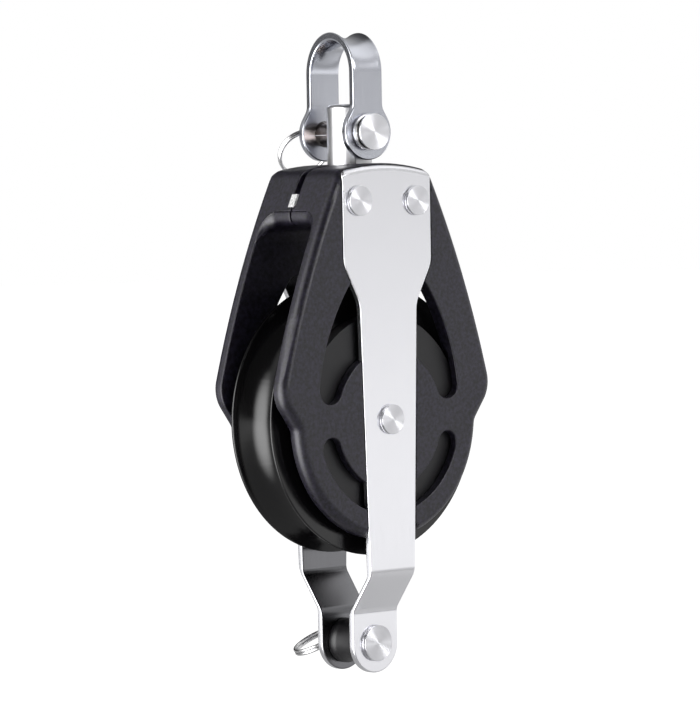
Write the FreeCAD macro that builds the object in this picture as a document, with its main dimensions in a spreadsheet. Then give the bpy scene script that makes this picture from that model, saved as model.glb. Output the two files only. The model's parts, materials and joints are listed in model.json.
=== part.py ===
import FreeCAD, Part

import math
import os

import Sketcher

# Swivel becket block: one grooved sheave between two moulded cheeks, a stainless strap over each
# cheek, a swivel shackle on top and a becket below. Millimetres.
# The origin is the sheave's centre, +Z points at the shackle, the axle lies along Y, and the
# front cheek is on the -Y side.

X = FreeCAD.Vector(1, 0, 0)
Y = FreeCAD.Vector(0, 1, 0)
Z = FreeCAD.Vector(0, 0, 1)
REACH = 200.0  # longer than the block: the length of a cutting tool that has to pass through
CUT_MARGIN = 1.0  # how far a cutting tool stands out of what it cuts
FLARE_STEPS = 4  # steps between the sections of the throat's flare
BOW_STEPS = 12  # steps between the sections of the shackle's bow

# Driving sizes. Each one can be changed by itself, and what fits against it follows.
SIZES = {
    # Sheave
    "sheave_radius": 28.5,
    "sheave_width": 12.8,
    "groove_depth": 4.8,
    "groove_lip": 0.7,
    # Ball bearing
    "ball_radius": 2.0,
    "ball_circle": 10.4,
    "ball_clearance": 0.05,
    "ball_gap": 0.3,
    "race_half_gap": 1.0,
    "race_proud": 1.2,
    "cover_inset": 6.6,
    "cover_bore_gap": 0.4,
    "cover_running_gap": 0.25,
    "cover_seat_depth": 0.8,
    "seat_clearance": 0.05,
    # Cheeks
    "cheek_running_gap": 1.75,
    "cheek_thickness": 3.25,
    "cheek_round": 2.0,
    "foot_inset": 3.4,
    "notch_angle": 5.1,
    "notch_rise": 0.95,
    "notch_round": 3.0,
    "shoulder_reach": 1.5,
    "shoulder_height": 5.5,
    "shoulder_round": 7.0,
    "side_inset": 5.3,
    "side_rise": 2.0,
    "side_straight": 0.7,
    "crown_cover": 5.05,
    "crown_radius": 55.0,
    "crown_flat": 2.35,
    "head_corner_reach": 0.4,
    "head_corner_round": 4.0,
    "hub_web": 1.95,
    "boss_radius": 7.0,
    "cover_recess_gap": 0.9,
    "slot_lap": 2.2,
    "slot_width": 5.0,
    "slot_end_angle": 19.3,
    "window_end_round": 3.0,
    "window_end_angle": 22.2,
    "window_side_round": 45.0,
    "window_corner_half": 8.2,
    "window_corner_drop": 0.7,
    "window_corner_round": 2.2,
    "throat_height": 12.0,
    "throat_side_run": 3.3,
    "throat_side_fade": 0.3,
    "throat_corner_round": 3.5,
    "parting_slot_depth": 1.2,
    "joint_line_width": 0.3,
    "joint_line_end": 0.7,
    # Straps
    "strap_thickness": 1.5,
    "strap_recess": 1.4,
    "strap_fit": 0.15,
    "strap_rivet_edge": 1.15,
    "strap_top_drop": 0.4,
    "strap_corner_round": 1.6,
    "strap_curl": 1.2,
    "strap_neck_half": 7.95,
    "strap_neck_drop": 4.3,
    "strap_neck_round": 6.0,
    "strap_flare": 8.2,
    "strap_flare_round": 6.0,
    "strap_bend_gap": 3.7,
    "strap_bend_round": 2.2,
    "becket_bend_length": 7.9,
    "becket_ear_face": 5.7,
    "becket_ear_radius": 6.25,
    "becket_ear_flat": 0.75,
    # Rivets and axle
    "rivet_half": 8.05,
    "rivet_drop": 0.3,
    "rivet_radius": 2.0,
    "axle_radius": 2.5,
    "rivet_head_radius": 3.1,
    "rivet_head_proud": 0.85,
    "hole_clearance": 0.05,
    # Turned heads
    "head_collar": 0.2,
    "head_disc": 0.35,
    "head_undercut": 0.3,
    # Clevis pins and the becket's bush
    "pin_radius": 2.5,
    "pin_head_radius": 3.8,
    "becket_head_proud": 0.9,
    "shackle_head_proud": 2.3,
    "pin_tip_bevel": 0.4,
    "pin_tip_land": 0.15,
    "bush_radius": 4.7,
    "bush_waist": 0.35,
    "bush_band": 1.2,
    "bush_slope": 1.0,
    "bush_end_gap": 0.1,
    # Swivel post, its anchor and what holds it
    "post_radius": 4.68,
    "post_eye_cover": 5.9,
    "post_bevel": 0.6,
    "post_bore_clearance": 0.25,
    "stem_radius": 3.0,
    "anchor_edge": 1.4,
    "anchor_wall": 2.2,
    "anchor_height": 5.0,
    "anchor_clearance": 0.1,
    "tab_width": 1.7,
    "tab_height": 2.7,
    "tab_reach": 0.35,
    "thrust_washer_thickness": 0.8,
    "lower_washer_thickness": 0.6,
    "lower_washer_edge": 0.4,
    "washer_gap": 0.05,
    "nut_recess": 0.55,
    "nut_wall": 1.4,
    "nut_height": 1.5,
    "nut_pocket_clearance": 0.4,
    # Shackle
    "shackle_turn": -7.0,
    "shackle_shift": 1.67,
    "shackle_post_gap": 0.75,
    "shackle_thickness": 1.6,
    "shackle_leg_half": 3.7,
    "shackle_ear_radius": 5.8,
    "shackle_ear_gap": 0.7,
    "shackle_neck_rise": 0.63,
    "shackle_neck_round": 3.0,
    "shackle_leg_length": 7.4,
    "shackle_dish": 1.3,
    # Split rings
    "ring_radius": 5.3,
    "ring_wire_radius": 0.36,
    "ring_turn_lap": 0.02,
    "ring_hole_clearance": 0.07,
    "shackle_ring_offset": 1.9,
    "shackle_ring_tilt": -20.0,
    "shackle_ring_swing": 34.5,
    "becket_ring_offset": 2.5,
    "becket_ring_tilt": 24.5,
    "becket_ring_swing": 80.0,
}

# Sizes and places that follow from the driving sizes, as spreadsheet formulas.
PLACES = {
    # Sheave and bearing
    "sheave_half": "Sizes.sheave_width / 2",
    "groove_mouth": "Sizes.sheave_width - 2 * Sizes.groove_lip",
    "groove_radius": "(groove_mouth ^ 2 / 4 + Sizes.groove_depth ^ 2) / (2 * Sizes.groove_depth)",
    "groove_circle": "Sizes.sheave_radius - Sizes.groove_depth + groove_radius",
    "ball_groove_radius": "Sizes.ball_radius + Sizes.ball_clearance",
    "race_radius": "Sizes.ball_circle - Sizes.race_half_gap",
    "sheave_bore": "Sizes.ball_circle + Sizes.race_half_gap",
    "race_half_length": "sheave_half + Sizes.race_proud",
    "cover_radius": "Sizes.sheave_radius - Sizes.cover_inset",
    "cover_bore": "race_radius + Sizes.cover_bore_gap",
    "cover_seat": "sheave_half - Sizes.cover_seat_depth",
    # Cheeks
    "cheek_inside": "sheave_half + Sizes.cheek_running_gap",
    "cheek_face": "cheek_inside + Sizes.cheek_thickness",
    "web_inside": "cheek_face - Sizes.hub_web",
    "cover_face": "web_inside - Sizes.cover_running_gap",
    "cover_recess_radius": "cover_radius + Sizes.cover_recess_gap",
    "hub_radius": "cover_radius - Sizes.slot_lap - Sizes.slot_width",
    "cheek_lower_radius": "Sizes.sheave_radius - Sizes.foot_inset",
    "shoulder_half": "Sizes.sheave_radius + Sizes.shoulder_reach",
    "side_half": "Sizes.sheave_radius - Sizes.side_inset",
    "side_height": "Sizes.sheave_radius + Sizes.side_rise",
    "window_corner_height": "Sizes.sheave_radius - Sizes.window_corner_drop",
    # Head, from the throat upwards
    "throat_top": "Sizes.sheave_radius + Sizes.throat_height",
    "nut_bottom": "throat_top + Sizes.nut_recess",
    "nut_radius": "Sizes.stem_radius + Sizes.nut_wall",
    "lower_washer_bottom": "nut_bottom + Sizes.nut_height + Sizes.washer_gap",
    "lower_washer_radius": "nut_radius + Sizes.lower_washer_edge",
    "nut_pocket_radius": "lower_washer_radius + Sizes.nut_pocket_clearance",
    "anchor_bottom": "lower_washer_bottom + Sizes.lower_washer_thickness + Sizes.washer_gap",
    "anchor_top": "anchor_bottom + Sizes.anchor_height",
    "anchor_centre": "anchor_bottom + Sizes.anchor_height / 2",
    "anchor_half_length": "Sizes.rivet_half + Sizes.rivet_radius + Sizes.anchor_edge",
    "anchor_half_depth": "Sizes.stem_radius + Sizes.anchor_wall",
    "rivet_height": "anchor_centre - Sizes.rivet_drop",
    "post_shoulder": "anchor_top + Sizes.thrust_washer_thickness + 2 * Sizes.washer_gap",
    "crown_top": "anchor_top + Sizes.crown_cover",
    # Straps and becket
    "strap_inside": "cheek_face - Sizes.strap_recess",
    "strap_face": "strap_inside + Sizes.strap_thickness",
    "strap_top_half": "Sizes.rivet_half + Sizes.rivet_head_radius + Sizes.strap_rivet_edge",
    "head_corner_half": "strap_top_half + Sizes.head_corner_reach",
    "strap_neck_height": "Sizes.sheave_radius - Sizes.strap_neck_drop",
    "strap_flare_height": "strap_neck_height + Sizes.strap_flare",
    "strap_bend_drop": "Sizes.sheave_radius + Sizes.strap_bend_gap",
    "becket_bend_drop": "strap_bend_drop + Sizes.becket_bend_length",
    "becket_pin_drop": "becket_bend_drop + Sizes.becket_ear_radius + Sizes.becket_ear_flat",
    "becket_ear_inside": "Sizes.becket_ear_face - Sizes.strap_thickness",
    "becket_ring_place": "Sizes.becket_ear_face + Sizes.becket_ring_offset",
    "bush_end": "becket_ear_inside - Sizes.bush_end_gap",
    # Shackle
    "shackle_ear_inside": "Sizes.post_radius + Sizes.shackle_shift + Sizes.shackle_post_gap",
    "shackle_outer_half": "shackle_ear_inside + Sizes.shackle_thickness",
    "shackle_pin_height": "crown_top + Sizes.shackle_ear_radius + Sizes.shackle_ear_gap",
    "shackle_ear_rise": "sqrt(Sizes.shackle_ear_radius ^ 2 - Sizes.shackle_leg_half ^ 2)",
    "shackle_neck_height": "shackle_pin_height + shackle_ear_rise + Sizes.shackle_neck_rise",
    "shackle_bow_height": "shackle_neck_height + Sizes.shackle_leg_length",
    "shackle_ring_place": "shackle_outer_half + Sizes.shackle_ring_offset",
    "post_top": "shackle_pin_height + Sizes.post_eye_cover",
    # Split rings. The wire's bow inside the pin is shared to both sides of the hole's axis.
    "ring_turn_half": "Sizes.ring_wire_radius - Sizes.ring_turn_lap / 2",
    "ring_bow": "Sizes.ring_radius - sqrt(Sizes.ring_radius ^ 2 - Sizes.pin_radius ^ 2)",
    "ring_half_width": "ring_turn_half + Sizes.ring_wire_radius",
    "ring_half_height": "Sizes.ring_wire_radius + ring_bow / 2",
    "ring_hole_radius": "sqrt(ring_half_width ^ 2 + ring_half_height ^ 2) + Sizes.ring_hole_clearance",
    "pin_tip_length": "ring_hole_radius + Sizes.pin_tip_bevel + Sizes.pin_tip_land",
}


def fill_sheet(document, name, cells, formula):
    """Write the cells to a new sheet, with each name as its value's alias."""
    sheet = document.addObject("Spreadsheet::Sheet", name)
    for row, (alias, content) in enumerate(cells.items(), 1):
        sheet.set(f"A{row}", alias)
        sheet.setAlias(f"B{row}", alias)
        sheet.set(f"B{row}", f"={content}" if formula else str(content))
    return sheet


doc = FreeCAD.newDocument("swivel_becket_block")
sizes = fill_sheet(doc, "Sizes", SIZES, formula=False)
places = fill_sheet(doc, "Places", PLACES, formula=True)
doc.recompute()
size = {alias: float(sizes.get(alias)) for alias in SIZES}
place = {alias: float(places.get(alias)) for alias in PLACES}


def linked(words):
    """Turn plain words into an expression: each size or place gets its sheet's name."""
    parts = []
    for word in words.split():
        sheet = "Sizes" if word in SIZES else "Places" if word in PLACES else None
        parts.append(f"{sheet}.{word}" if sheet else word)
    return " ".join(parts)


def bind(feature, **links):
    """Bind the feature's properties to expressions; x, y and z are its place."""
    for name, words in links.items():
        target = f"Placement.Base.{name}" if name in ("x", "y", "z") else name
        feature.setExpression(target, linked(words))
    return feature


# Shapes that several pieces use

LOOK_ALONG_Y = FreeCAD.Rotation(X, -90)


def cylinder(name, radius, length, along_y=True, **at):
    """Part::Cylinder along +Y or +Z that starts at the given place."""
    tool = doc.addObject("Part::Cylinder", name)
    if along_y:
        tool.Placement.Rotation = LOOK_ALONG_Y
    return bind(tool, Radius=radius, Height=length, **at)


def ring_groove(name, circle, radius):
    """Part::Torus about the axle, to cut a groove with."""
    tool = doc.addObject("Part::Torus", name)
    tool.Placement.Rotation = LOOK_ALONG_Y
    return bind(tool, Radius1=circle, Radius2=radius)


def cut(label, base, *tools):
    """Part::Cut of the tools, fused where there are several, from the base."""
    tool = tools[0]
    if len(tools) > 1:
        tool = doc.addObject("Part::MultiFuse", f"{label}_tools")
        tool.Shapes = list(tools)
    result = doc.addObject("Part::Cut", label)
    result.Base = base
    result.Tool = tool
    return result


def turned(label, points, along_y=True):
    """PartDesign body turned about Y or Z from (radius, place along the axis) words."""
    body = doc.addObject("PartDesign::Body", label)
    sketch = body.newObject("Sketcher::SketchObject", f"{label}_profile")
    role = "XY_Plane" if along_y else "XZ_Plane"
    plane = [item for item in body.Origin.OriginFeatures if item.Role == role][0]
    sketch.AttachmentSupport = (plane, "")
    sketch.MapMode = "FlatFace"
    corner = [FreeCAD.Vector(index, index * index, 0) for index in range(len(points))]
    for index in range(len(points)):
        sketch.addGeometry(Part.LineSegment(corner[index], corner[(index + 1) % len(points)]))
    for index, (radius, along) in enumerate(points):
        before = (index - 1) % len(points)
        sketch.addConstraint(Sketcher.Constraint("Coincident", before, 2, index, 1))
        for kind, words in (("DistanceX", radius), ("DistanceY", along)):
            name = f"{kind}_{index}"
            number = sketch.addConstraint(Sketcher.Constraint(kind, -1, 1, index, 1, 1.0))
            sketch.renameConstraint(number, name)
            sketch.setExpression(f"Constraints.{name}", linked(words))
    turn = body.newObject("PartDesign::Revolution", f"{label}_turn")
    turn.Profile = sketch
    turn.ReferenceAxis = (sketch, ["V_Axis"])
    turn.Angle = 360.0
    return body


def sleeve(label, inner, outer, start, end, along_y=True):
    """Turned ring with plain ends."""
    return turned(label, [(inner, start), (outer, start), (outer, end), (inner, end)], along_y)


def head_points(radius, face, proud, side):
    """Profile of a turned head that stands out of a face: collar, undercut neck and disc."""
    sign = "-" if side < 0 else "+"
    neck = f"{radius} - head_undercut"
    disc = f"{face} {sign} ( {proud} - head_disc )"
    return [
        (radius, face),
        (radius, f"{face} {sign} head_collar"),
        (neck, f"{face} {sign} head_collar"),
        (neck, disc),
        (radius, disc),
        (radius, f"{face} {sign} {proud}"),
        ("0", f"{face} {sign} {proud}"),
    ]


def rounded_wire(corners, to_point):
    """Closed wire of straight lines through (u, v, radius) corners with tangent arcs."""
    count = len(corners)
    plane = [FreeCAD.Vector(u, v, 0) for u, v, _ in corners]
    ends = []
    edges = []
    for index in range(count):
        radius = corners[index][2]
        here = plane[index]
        into = (here - plane[index - 1]).normalize()
        away = (plane[(index + 1) % count] - here).normalize()
        half_turn = into.getAngle(away) / 2
        reach = radius * math.tan(half_turn)
        start, end = here - into * reach, here + away * reach
        if reach > 0:
            inward = (away - into).normalize()
            middle = here + inward * (radius / math.cos(half_turn) - radius)
            edges.append((start, middle, end))
        else:
            edges.append(None)
        ends.append((start, end))
    wire = []
    for index in range(count):
        if edges[index]:
            wire.append(Part.Arc(*[to_point(*p[:2]) for p in edges[index]]).toShape())
        start, end = ends[index][1], ends[(index + 1) % count][0]
        if (end - start).Length > 1e-6:
            wire.append(Part.LineSegment(to_point(*start[:2]), to_point(*end[:2])).toShape())
    return Part.Wire(wire)


def both_sides(right):
    """The right half's corners, from the bottom up, and their mirror image."""
    return right + [(-u, v, radius) for u, v, radius in reversed(right) if u]


def prism(wire, low, high):
    """Solid between the planes Y = low and Y = high whose outline is the wire in the plane Y = 0."""
    face = Part.Face(wire)
    face.translate(Y * low)
    return face.extrude(Y * (high - low))


def front(u, v):
    """Point of the plane Y = 0."""
    return FreeCAD.Vector(u, 0, v)


def block(low, high):
    """Box between two corners."""
    return Part.makeBox(*[b - a for a, b in zip(low, high)], FreeCAD.Vector(*low))


def rod(radius, low, high, u=0.0, v=0.0):
    """Cylinder along Y between two places."""
    return Part.makeCylinder(radius, high - low, FreeCAD.Vector(u, low, v), Y)


def solid_feature(label, shape):
    """Part::Feature with one cleaned solid."""
    feature = doc.addObject("Part::Feature", label)
    feature.Shape = shape.removeSplitter()
    return feature


# Cheeks


def crown_corners(half, drop, corner_round):
    """Corner and peak of an arched top edge that lies the drop below the cheek's own."""
    slope = math.asin((place["head_corner_half"] - size["crown_flat"]) / size["crown_radius"])
    peak = place["crown_top"] - drop + size["crown_radius"] * (1 / math.cos(slope) - 1)
    return [(half, peak - half * math.tan(slope), corner_round), (0.0, peak, size["crown_radius"])]


def widest_round(before, corner, after):
    """Radius of the largest round at a corner that leaves its neighbours' rounds their room.

    Each point is (u, v, radius); before and after also bring the corners beyond them.
    """
    def turn(first, second, third):
        into = FreeCAD.Vector(second[0] - first[0], second[1] - first[1], 0)
        away = FreeCAD.Vector(third[0] - second[0], third[1] - second[1], 0)
        return into.getAngle(away) / 2

    here = corner[:2]
    room = []
    for near, far in (before, after):
        taken = near[2] * math.tan(turn(far, near, here))
        room.append(math.dist(here, near[:2]) - taken)
    return (min(room) - size["side_straight"]) / math.tan(turn(before[0], here, after[0]))


def cheek_wire():
    """Outline: round foot, notches under two shoulders, long bowed sides and an arched crown."""
    lower, rise = place["cheek_lower_radius"], size["notch_rise"]
    notch = math.radians(size["notch_angle"])
    across, along = math.cos(notch), math.sin(notch)
    foot = (lower * math.tan((math.pi / 2 - notch) / 2), -lower, lower)
    notch_corner = (lower * across + rise * along, rise * across - lower * along, size["notch_round"])
    shoulder = (place["shoulder_half"], size["shoulder_height"], size["shoulder_round"])
    side = (place["side_half"], place["side_height"])
    head_corner, peak = crown_corners(place["head_corner_half"], 0.0, size["head_corner_round"])
    bow = widest_round((shoulder, notch_corner), side, (head_corner, peak))
    right = [foot, notch_corner, shoulder, (*side, bow), head_corner, peak]
    return rounded_wire(both_sides(right), front)


def arc_slot(inner, outer, start, end):
    """Slot about the axle between two radii, with round ends, from angle to angle in degrees."""
    middle, half = (inner + outer) / 2, (outer - inner) / 2

    def at(radius, degrees, ahead=0.0):
        angle = math.radians(degrees)
        along = FreeCAD.Vector(-math.sin(angle), 0, math.cos(angle)) * ahead
        return FreeCAD.Vector(math.cos(angle), 0, math.sin(angle)) * radius + along

    centre = (start + end) / 2
    return Part.Wire([
        Part.Arc(at(outer, start), at(outer, centre), at(outer, end)).toShape(),
        Part.Arc(at(outer, end), at(middle, end, half), at(inner, end)).toShape(),
        Part.Arc(at(inner, end), at(inner, centre), at(inner, start)).toShape(),
        Part.Arc(at(inner, start), at(middle, start, -half), at(outer, start)).toShape(),
    ])


def window_wire():
    """Upper window: bounded by the hub below, two bowed sides and a flat top under the strap."""
    end_round, corner_round = size["window_end_round"], size["window_corner_round"]
    side_round = size["window_side_round"]
    angle = math.radians(size["window_end_angle"])
    ray = FreeCAD.Vector(math.cos(angle), 0, math.sin(angle))
    end = ray * (place["hub_radius"] + end_round)
    corner = FreeCAD.Vector(size["window_corner_half"], 0, place["window_corner_height"])
    # The side's centre is the point that both rounds touch its arc from inside.
    near, far = side_round - end_round, side_round - corner_round
    apart = (corner - end).Length
    along = (near ** 2 - far ** 2 + apart ** 2) / (2 * apart)
    across = math.sqrt(near ** 2 - along ** 2)
    step = (corner - end).normalize()
    side = end + step * along + FreeCAD.Vector(-step.z, 0, step.x) * across
    low = end + (end - side).normalize() * end_round
    high = corner + (corner - side).normalize() * corner_round
    middle = side + ((low + high) * 0.5 - side).normalize() * side_round
    inner = ray * place["hub_radius"]
    under = end + ((low - end) + (inner - end) - Z * end_round).normalize() * end_round
    top = corner + Z * corner_round
    bend = corner + ((high - corner) + (top - corner)).normalize() * corner_round

    def other(point):
        return FreeCAD.Vector(-point.x, 0, point.z)

    half = [(inner, under, low), (low, middle, high), (high, bend, top)]
    arcs = [Part.Arc(*points).toShape() for points in half]
    arcs.append(Part.LineSegment(top, other(top)).toShape())
    for points in reversed(half):
        arcs.append(Part.Arc(*[other(point) for point in reversed(points)]).toShape())
    arcs.append(Part.Arc(other(inner), Z * place["hub_radius"], inner).toShape())
    return Part.Wire(arcs)


def strap_wire(corner_round):
    """Outline of a strap seen from the front, with its two top corners rounded."""
    ear = size["becket_ear_radius"]
    right = [
        (ear, -place["becket_pin_drop"] - ear, ear),
        (ear, -place["strap_bend_drop"], 0.0),
        (size["strap_neck_half"], place["strap_neck_height"], size["strap_neck_round"]),
        (place["strap_top_half"], place["strap_flare_height"], size["strap_flare_round"]),
    ]
    right += crown_corners(place["strap_top_half"], size["strap_top_drop"], corner_round)
    return rounded_wire(both_sides(right), front)


def throat_flare(outline):
    """What is cut off where the throat runs out through the right wall, as a solid in front of Y = 0.

    Its section follows the throat's edge: along the ceiling and round the corner above the cheek's
    plate. The rounding is wide at the ceiling and fades out down the corner.
    """
    corner_round, run, fade = size["throat_corner_round"], size["throat_side_run"], size["throat_side_fade"]
    centre = FreeCAD.Vector(0, corner_round - place["cheek_inside"], place["throat_top"] - corner_round)

    def wall(height):
        level = Part.makeLine(front(0, height), front(REACH, height))
        return level.distToShape(outline)[1][0][0].x

    sections = []
    for step in range(FLARE_STEPS + 1):
        angle = math.pi / 2 * step / FLARE_STEPS
        into = FreeCAD.Vector(0, -math.sin(angle), math.cos(angle))
        edge = centre + into * corner_round
        edge.x = wall(edge.z)
        reach = fade + (run - fade) * math.cos(angle) ** 2
        up = edge + into * reach
        up.x = wall(up.z)
        along_wall = (up - edge).normalize()
        half = along_wall.getAngle(-X) / 2
        start, end = edge - X * reach, edge + along_wall * reach
        inward = (along_wall - X).normalize()
        middle = edge + inward * (reach / math.cos(half) - reach * math.tan(half))
        outside = [end + X * CUT_MARGIN, edge + X * CUT_MARGIN - into * CUT_MARGIN, start - into * CUT_MARGIN]
        sections.append(Part.Wire([
            Part.Arc(start, middle, end).toShape(),
            Part.LineSegment(end, outside[0]).toShape(),
            Part.LineSegment(outside[0], outside[1]).toShape(),
            Part.LineSegment(outside[1], outside[2]).toShape(),
            Part.LineSegment(outside[2], start).toShape(),
        ]))
    ceiling = Part.Face(sections[0]).extrude(Y * -centre.y)
    return ceiling.fuse(Part.makeLoft(sections, True, False))


def cheek_shape():
    """Front cheek: plate with windows, hub boss and strap recess, and half of the solid head."""
    outline = cheek_wire()
    face, inside = -place["cheek_face"], -place["cheek_inside"]
    plate = prism(outline, face, inside)
    rim = [edge for edge in plate.Edges if edge.BoundBox.YMax < face + 1e-4]
    plate = plate.makeFillet(size["cheek_round"], rim)
    # The head block above the throat
    throat = place["throat_top"]
    above = block((-REACH, inside, throat), (REACH, 0, REACH))
    head = prism(outline, inside, 0).common(above)
    # A fillet runs along the corner between the head block and the plate
    corner_round = size["throat_corner_round"]
    corner = block((-REACH, inside, throat - corner_round), (REACH, inside + corner_round, throat))
    hollow = Part.makeCylinder(corner_round, 2 * REACH,
                               FreeCAD.Vector(-REACH, inside + corner_round, throat - corner_round), X)
    filler = corner.cut(hollow).common(prism(outline, inside, 0))
    flare = throat_flare(outline)
    shell = plate.fuse([head, filler]).cut([flare, flare.mirror(FreeCAD.Vector(0, 0, 0), X)])
    # Hub: a thin web over the sheave's side, and a boss that reaches the inner race
    web = -place["web_inside"]
    shell = shell.cut(rod(place["cover_recess_radius"], web, inside))
    shell = shell.fuse(rod(size["boss_radius"], web, -place["race_half_length"]))
    outer = place["hub_radius"] + size["slot_width"]
    slot = arc_slot(place["hub_radius"], outer, size["slot_end_angle"] - 180, -size["slot_end_angle"])
    recess = strap_wire(size["strap_corner_round"]).makeOffset2D(size["strap_fit"])
    cutters = [
        prism(window_wire(), face, inside),
        prism(slot, face, inside),
        prism(recess, face, -place["strap_inside"]),
        rod(size["axle_radius"] + size["hole_clearance"], face, 0),
    ]
    for side in (-1, 1):
        cutters.append(rod(size["rivet_radius"] + size["hole_clearance"], face, 0,
                           side * size["rivet_half"], place["rivet_height"]))
    return shell.cut(cutters + head_pockets(outline))


def head_pockets(outline):
    """What is cut out of the head for the anchor, the post, its washer and nut, and the parting slot."""
    gap = size["anchor_clearance"]
    bottom, top = place["anchor_bottom"], place["anchor_top"]
    length, depth = place["anchor_half_length"] + gap, place["anchor_half_depth"] + gap
    half_tab = size["tab_width"] / 2
    tab_bottom = place["anchor_centre"] - size["tab_height"] / 2
    wide = size["post_radius"] + size["post_bore_clearance"]
    slot_band = prism(outline, -half_tab, 0).cut(
        prism(outline.makeOffset2D(-size["parting_slot_depth"]), -half_tab, 0))
    # Below the tabs the halves meet, and their corners leave a thin line as deep as the throat's flare
    line_depth = size["throat_side_run"] + size["joint_line_end"]
    line_band = prism(outline, -size["joint_line_width"] / 2, 0).cut(
        prism(outline.makeOffset2D(-line_depth), -size["joint_line_width"] / 2, 0))
    return [
        block((-length, -depth, bottom - gap), (length, 0, top + gap)),
        block((-REACH, -half_tab, tab_bottom), (REACH, 0, tab_bottom + size["tab_height"])),
        slot_band.common(block((-REACH, -REACH, tab_bottom), (REACH, 0, REACH))),
        line_band.common(block((-REACH, -REACH, place["throat_top"]), (REACH, 0, tab_bottom))),
        Part.makeCylinder(wide, REACH, FreeCAD.Vector(0, 0, top), Z),
        Part.makeCylinder(place["nut_pocket_radius"], bottom, FreeCAD.Vector(0, 0, 0), Z),
    ]


def mirrored(label, source):
    """Part::Mirroring of a piece to the other side of the block."""
    copy = doc.addObject("Part::Mirroring", label)
    copy.Source = source
    copy.Base = FreeCAD.Vector(0, 0, 0)
    copy.Normal = Y
    return copy


front_cheek = solid_feature("front_cheek", cheek_shape())
rear_cheek = mirrored("rear_cheek", front_cheek)

# Straps


def strap_profile():
    """Strap seen from the side: flat over the cheek, then bent in to the becket's ear."""
    outer, ear = place["strap_face"], size["becket_ear_face"]
    thick, inner_round = size["strap_thickness"], size["strap_bend_round"]
    upper, lower = -place["strap_bend_drop"], -place["becket_bend_drop"]
    shift = thick * math.tan(math.atan2(outer - ear, upper - lower) / 2)
    corners = [
        (-outer, REACH, 0.0),
        (-outer, upper, inner_round + thick),
        (-ear, lower, inner_round),
        (-ear, -REACH, 0.0),
        (thick - ear, -REACH, 0.0),
        (thick - ear, lower - shift, inner_round + thick),
        (thick - outer, upper - shift, inner_round),
        (thick - outer, REACH, 0.0),
    ]
    wire = rounded_wire(corners, lambda across, up: FreeCAD.Vector(-REACH, across, up))
    return Part.Face(wire).extrude(X * 2 * REACH)


def strap_shape():
    """Front strap, with its curled top edge and its rivet, axle and pin holes."""
    strap = strap_profile().common(prism(strap_wire(0.0), -REACH, 0))
    corner, _ = crown_corners(place["strap_top_half"], size["strap_top_drop"], 0.0)
    rim = [
        edge for edge in strap.Edges
        if edge.BoundBox.YMax < -place["strap_face"] + 1e-4 and edge.BoundBox.ZMin > corner[1] - 1e-3
    ]
    strap = strap.makeFillet(size["strap_curl"], rim)
    strap = strap.common(prism(strap_wire(size["strap_corner_round"]), -REACH, 0))
    holes = [
        (size["axle_radius"], 0.0, 0.0),
        (size["rivet_radius"], -size["rivet_half"], place["rivet_height"]),
        (size["rivet_radius"], size["rivet_half"], place["rivet_height"]),
        (size["pin_radius"], 0.0, -place["becket_pin_drop"]),
    ]
    return strap.cut([rod(radius + size["hole_clearance"], -REACH, 0, u, v) for radius, u, v in holes])


front_strap = solid_feature("front_strap", strap_shape())
rear_strap = mirrored("rear_strap", front_strap)

# Rivets and axle, each with a turned head on both straps


def riveted(label, shank, u="0", v="0"):
    """Pin through both straps with a head on each."""
    left = head_points("rivet_head_radius", "- strap_face", "rivet_head_proud", -1)
    right = head_points("rivet_head_radius", "strap_face", "rivet_head_proud", 1)
    points = left[::-1] + [(shank, "- strap_face"), (shank, "strap_face")] + right
    rivet = turned(label, points)
    return bind(rivet, x=u, z=v)


axle = riveted("axle", "axle_radius")
head_rivet_left = riveted("head_rivet_left", "rivet_radius", "- rivet_half", "rivet_height")
head_rivet_right = riveted("head_rivet_right", "rivet_radius", "rivet_half", "rivet_height")

# Sheave and its ball bearing

blank = sleeve("sheave_blank", "sheave_bore", "sheave_radius", "- sheave_half", "sheave_half")
front_seat = cylinder("front_seat", "cover_radius + seat_clearance", "cover_seat_depth", y="- sheave_half")
rear_seat = cylinder("rear_seat", "cover_radius + seat_clearance", "cover_seat_depth", y="cover_seat")
rope_groove = ring_groove("rope_groove", "groove_circle", "groove_radius")
outer_ball_groove = ring_groove("outer_ball_groove", "ball_circle", "ball_groove_radius")
sheave = cut("sheave", blank, front_seat, rear_seat, rope_groove, outer_ball_groove)

rear_race_cover = sleeve("rear_race_cover", "cover_bore", "cover_radius", "cover_seat", "cover_face")
front_race_cover = sleeve("front_race_cover", "cover_bore", "cover_radius", "- cover_face", "- cover_seat")

race_blank = sleeve("race_blank", "axle_radius + hole_clearance", "race_radius",
                    "- race_half_length", "race_half_length")
inner_ball_groove = ring_groove("inner_ball_groove", "ball_circle", "ball_groove_radius")
inner_race = cut("inner_race", race_blank, inner_ball_groove)

ball_pitch = 2 * math.asin((size["ball_radius"] + size["ball_gap"] / 2) / size["ball_circle"])
ball_count = int(2 * math.pi / ball_pitch)
balls = []
for index in range(ball_count):
    ball = doc.addObject("Part::Sphere", f"ball_{index + 1}")
    turn = 360.0 * index / ball_count
    bind(ball, Radius="ball_radius", x=f"ball_circle * cos( {turn} )", z=f"ball_circle * sin( {turn} )")
    balls.append(ball)
bearing_balls = doc.addObject("Part::Compound", "bearing_balls")
bearing_balls.Links = balls

# Split rings and the clevis pins that they keep


def ring_frame(at, turn, tilt, swing):
    """Placement of a split ring from the middle of its hole: the hole's axis is local X.

    The ring hangs along local -Z. The hole is tilted about the pin, and the ring swings outwards.
    """
    turned_about = FreeCAD.Rotation(Z, turn)
    tilted = FreeCAD.Rotation(Y, -tilt)
    swung = FreeCAD.Rotation(X, swing)
    return FreeCAD.Placement(at, turned_about.multiply(tilted).multiply(swung))


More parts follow.
